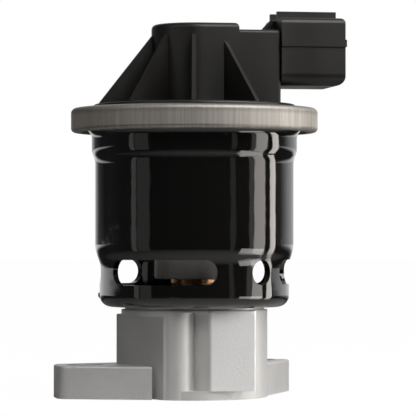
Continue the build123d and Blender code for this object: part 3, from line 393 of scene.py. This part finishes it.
# Floor: white to the lens with a little of the part's own shadow. In mirrors it is a grey pool
# round the part, clear further out, and white far behind the part.
bpy.ops.mesh.primitive_plane_add(size=2 * FLOOR_HALF, location=(0, 0, -FLOOR_DROP))
floor = bpy.context.object
floor.name = "floor"
floor_look = bpy.data.materials.new("floor_white")
s = Shader(floor_look)
straight, glossy = s.rays()
reach = s.vector_math("LENGTH", s.place())
ahead = s.vector_math("DOT_PRODUCT", s.place(), from_view(0.0, 1.0))
clear = s.add("ShaderNodeBsdfTransparent").outputs[0]
front = s.blend(s.remap(reach, POOL_NEAR, POOL_FAR), s.diffuse(POOL_TONE), clear)
mirrored = s.blend(s.remap(ahead, OPEN_NEAR, OPEN_FAR), front, s.emission(OPEN_WHITE))
cover = s.math("MULTIPLY", straight, FLOOR_COVER)
seen = s.blend(cover, s.diffuse(FLOOR_TONE), s.emission(FLOOR_WHITE))
s.add("ShaderNodeOutputMaterial", {"Surface": s.blend(glossy, seen, mirrored)})
floor.data.materials.append(floor_look)

# World: white to the lens. In mirrors it is bright behind the part, soft from above, faint on
# the left and dark towards the lens.
world = bpy.data.worlds.new("studio")
bpy.context.scene.world = world
s = Shader(world)
straight, glossy = s.rays()
toward = s.add("ShaderNodeTexCoord").outputs["Generated"]
rise = s.split(toward)[2]
level_way = s.vector_math("NORMALIZE", s.vector_math("MULTIPLY", toward, (1.0, 1.0, 0.0)))
backward = s.vector_math("DOT_PRODUCT", level_way, around(BACK_AZIMUTH))
leftward = s.vector_math("DOT_PRODUCT", level_way, around(SIDE_AZIMUTH))
behind = s.math(
    "MAXIMUM",
    s.remap(backward, BACK_EDGE, BACK_FULL, 0.0, BACK_GLOW),
    s.remap(backward, HAZE_EDGE, BACK_EDGE, 0.0, HAZE_GLOW),
)
behind = s.math("MULTIPLY", behind, s.remap(rise, BACK_LOWEST_RISE, 0.0))
beside = s.remap(leftward, SIDE_EDGE, SIDE_FULL, 0.0, SIDE_GLOW)
overhead = s.remap(rise, CEILING_EDGE, CEILING_FULL, 0.0, CEILING_GLOW)
mirror = s.chain("MAXIMUM", behind, overhead, beside, DARK_ROOM)
level = s.math("ADD", s.math("MULTIPLY", glossy, s.math("SUBTRACT", mirror, AMBIENT)), AMBIENT)
level = s.math("MAXIMUM", level, straight)
shown = s.add("ShaderNodeBackground", {"Color": WHITE, "Strength": level})
s.add("ShaderNodeOutputWorld", {"Surface": shown.outputs[0]})


def panel(name, azimuth, distance, z, width, height, radiance, tint=FILL_TINT):
    """A soft box that faces the part."""
    lamp = bpy.data.lights.new(name, "AREA")
    lamp.shape = "RECTANGLE"
    lamp.size, lamp.size_y = width, height
    lamp.color = tint
    lamp.energy = radiance * math.pi * width * height
    stand = bpy.data.objects.new(name, lamp)
    stand.location = around(azimuth, distance, z)
    stand.rotation_euler = (AIM - stand.location).to_track_quat("-Z", "Y").to_euler()
    bpy.context.scene.collection.objects.link(stand)


def strip(name, azimuth, width, radiance, height=FILL_HEIGHT, tint=FILL_TINT):
    """A tall soft box, seen as an upright line of light in the shell."""
    panel(name, azimuth, STRIP_DISTANCE, STRIP_Z, width, height, radiance, tint)


strip("key_front", azimuth=81.0, width=0.27, radiance=2.3, height=KEY_HEIGHT, tint=KEY_TINT)
strip("key_rear", azimuth=102.0, width=0.165, radiance=3.8, height=KEY_HEIGHT, tint=KEY_TINT)
strip("left_strip", azimuth=-60.5, width=0.27, radiance=0.19)
strip("left_edge", azimuth=-73.0, width=0.10, radiance=0.38)
strip("faint", azimuth=45.0, width=0.10, radiance=0.16)
panel("front_right", azimuth=45.0, distance=0.28, z=0.30, width=0.36, height=0.30, radiance=4.6)
panel("front_left", azimuth=-45.0, distance=0.55, z=0.34, width=0.45, height=0.35, radiance=0.9)
panel("low_right", azimuth=66.0, distance=0.105, z=0.007, width=0.06, height=0.026, radiance=2.4)
strip("key_soft", azimuth=69.0, width=0.10, radiance=0.35, height=KEY_HEIGHT, tint=KEY_TINT)

# Camera
lens = bpy.data.cameras.new("camera")
lens.sensor_width = SENSOR_MM
lens.lens = FOCAL_PX / PICTURE * SENSOR_MM
lens.clip_start = CLIP_START
eye = bpy.data.objects.new("camera", lens)
eye.location = from_view(CAMERA_X, CAMERA_Y, CAMERA_Z)
tilt = (HORIZON_PX - PICTURE / 2) / FOCAL_PX
look = from_view(0.0, 1.0, tilt)
eye.rotation_euler = look.to_track_quat("-Z", "Y").to_euler()
bpy.context.scene.collection.objects.link(eye)
bpy.context.scene.camera = eye
bpy.context.scene.view_settings.view_transform = "Standard"
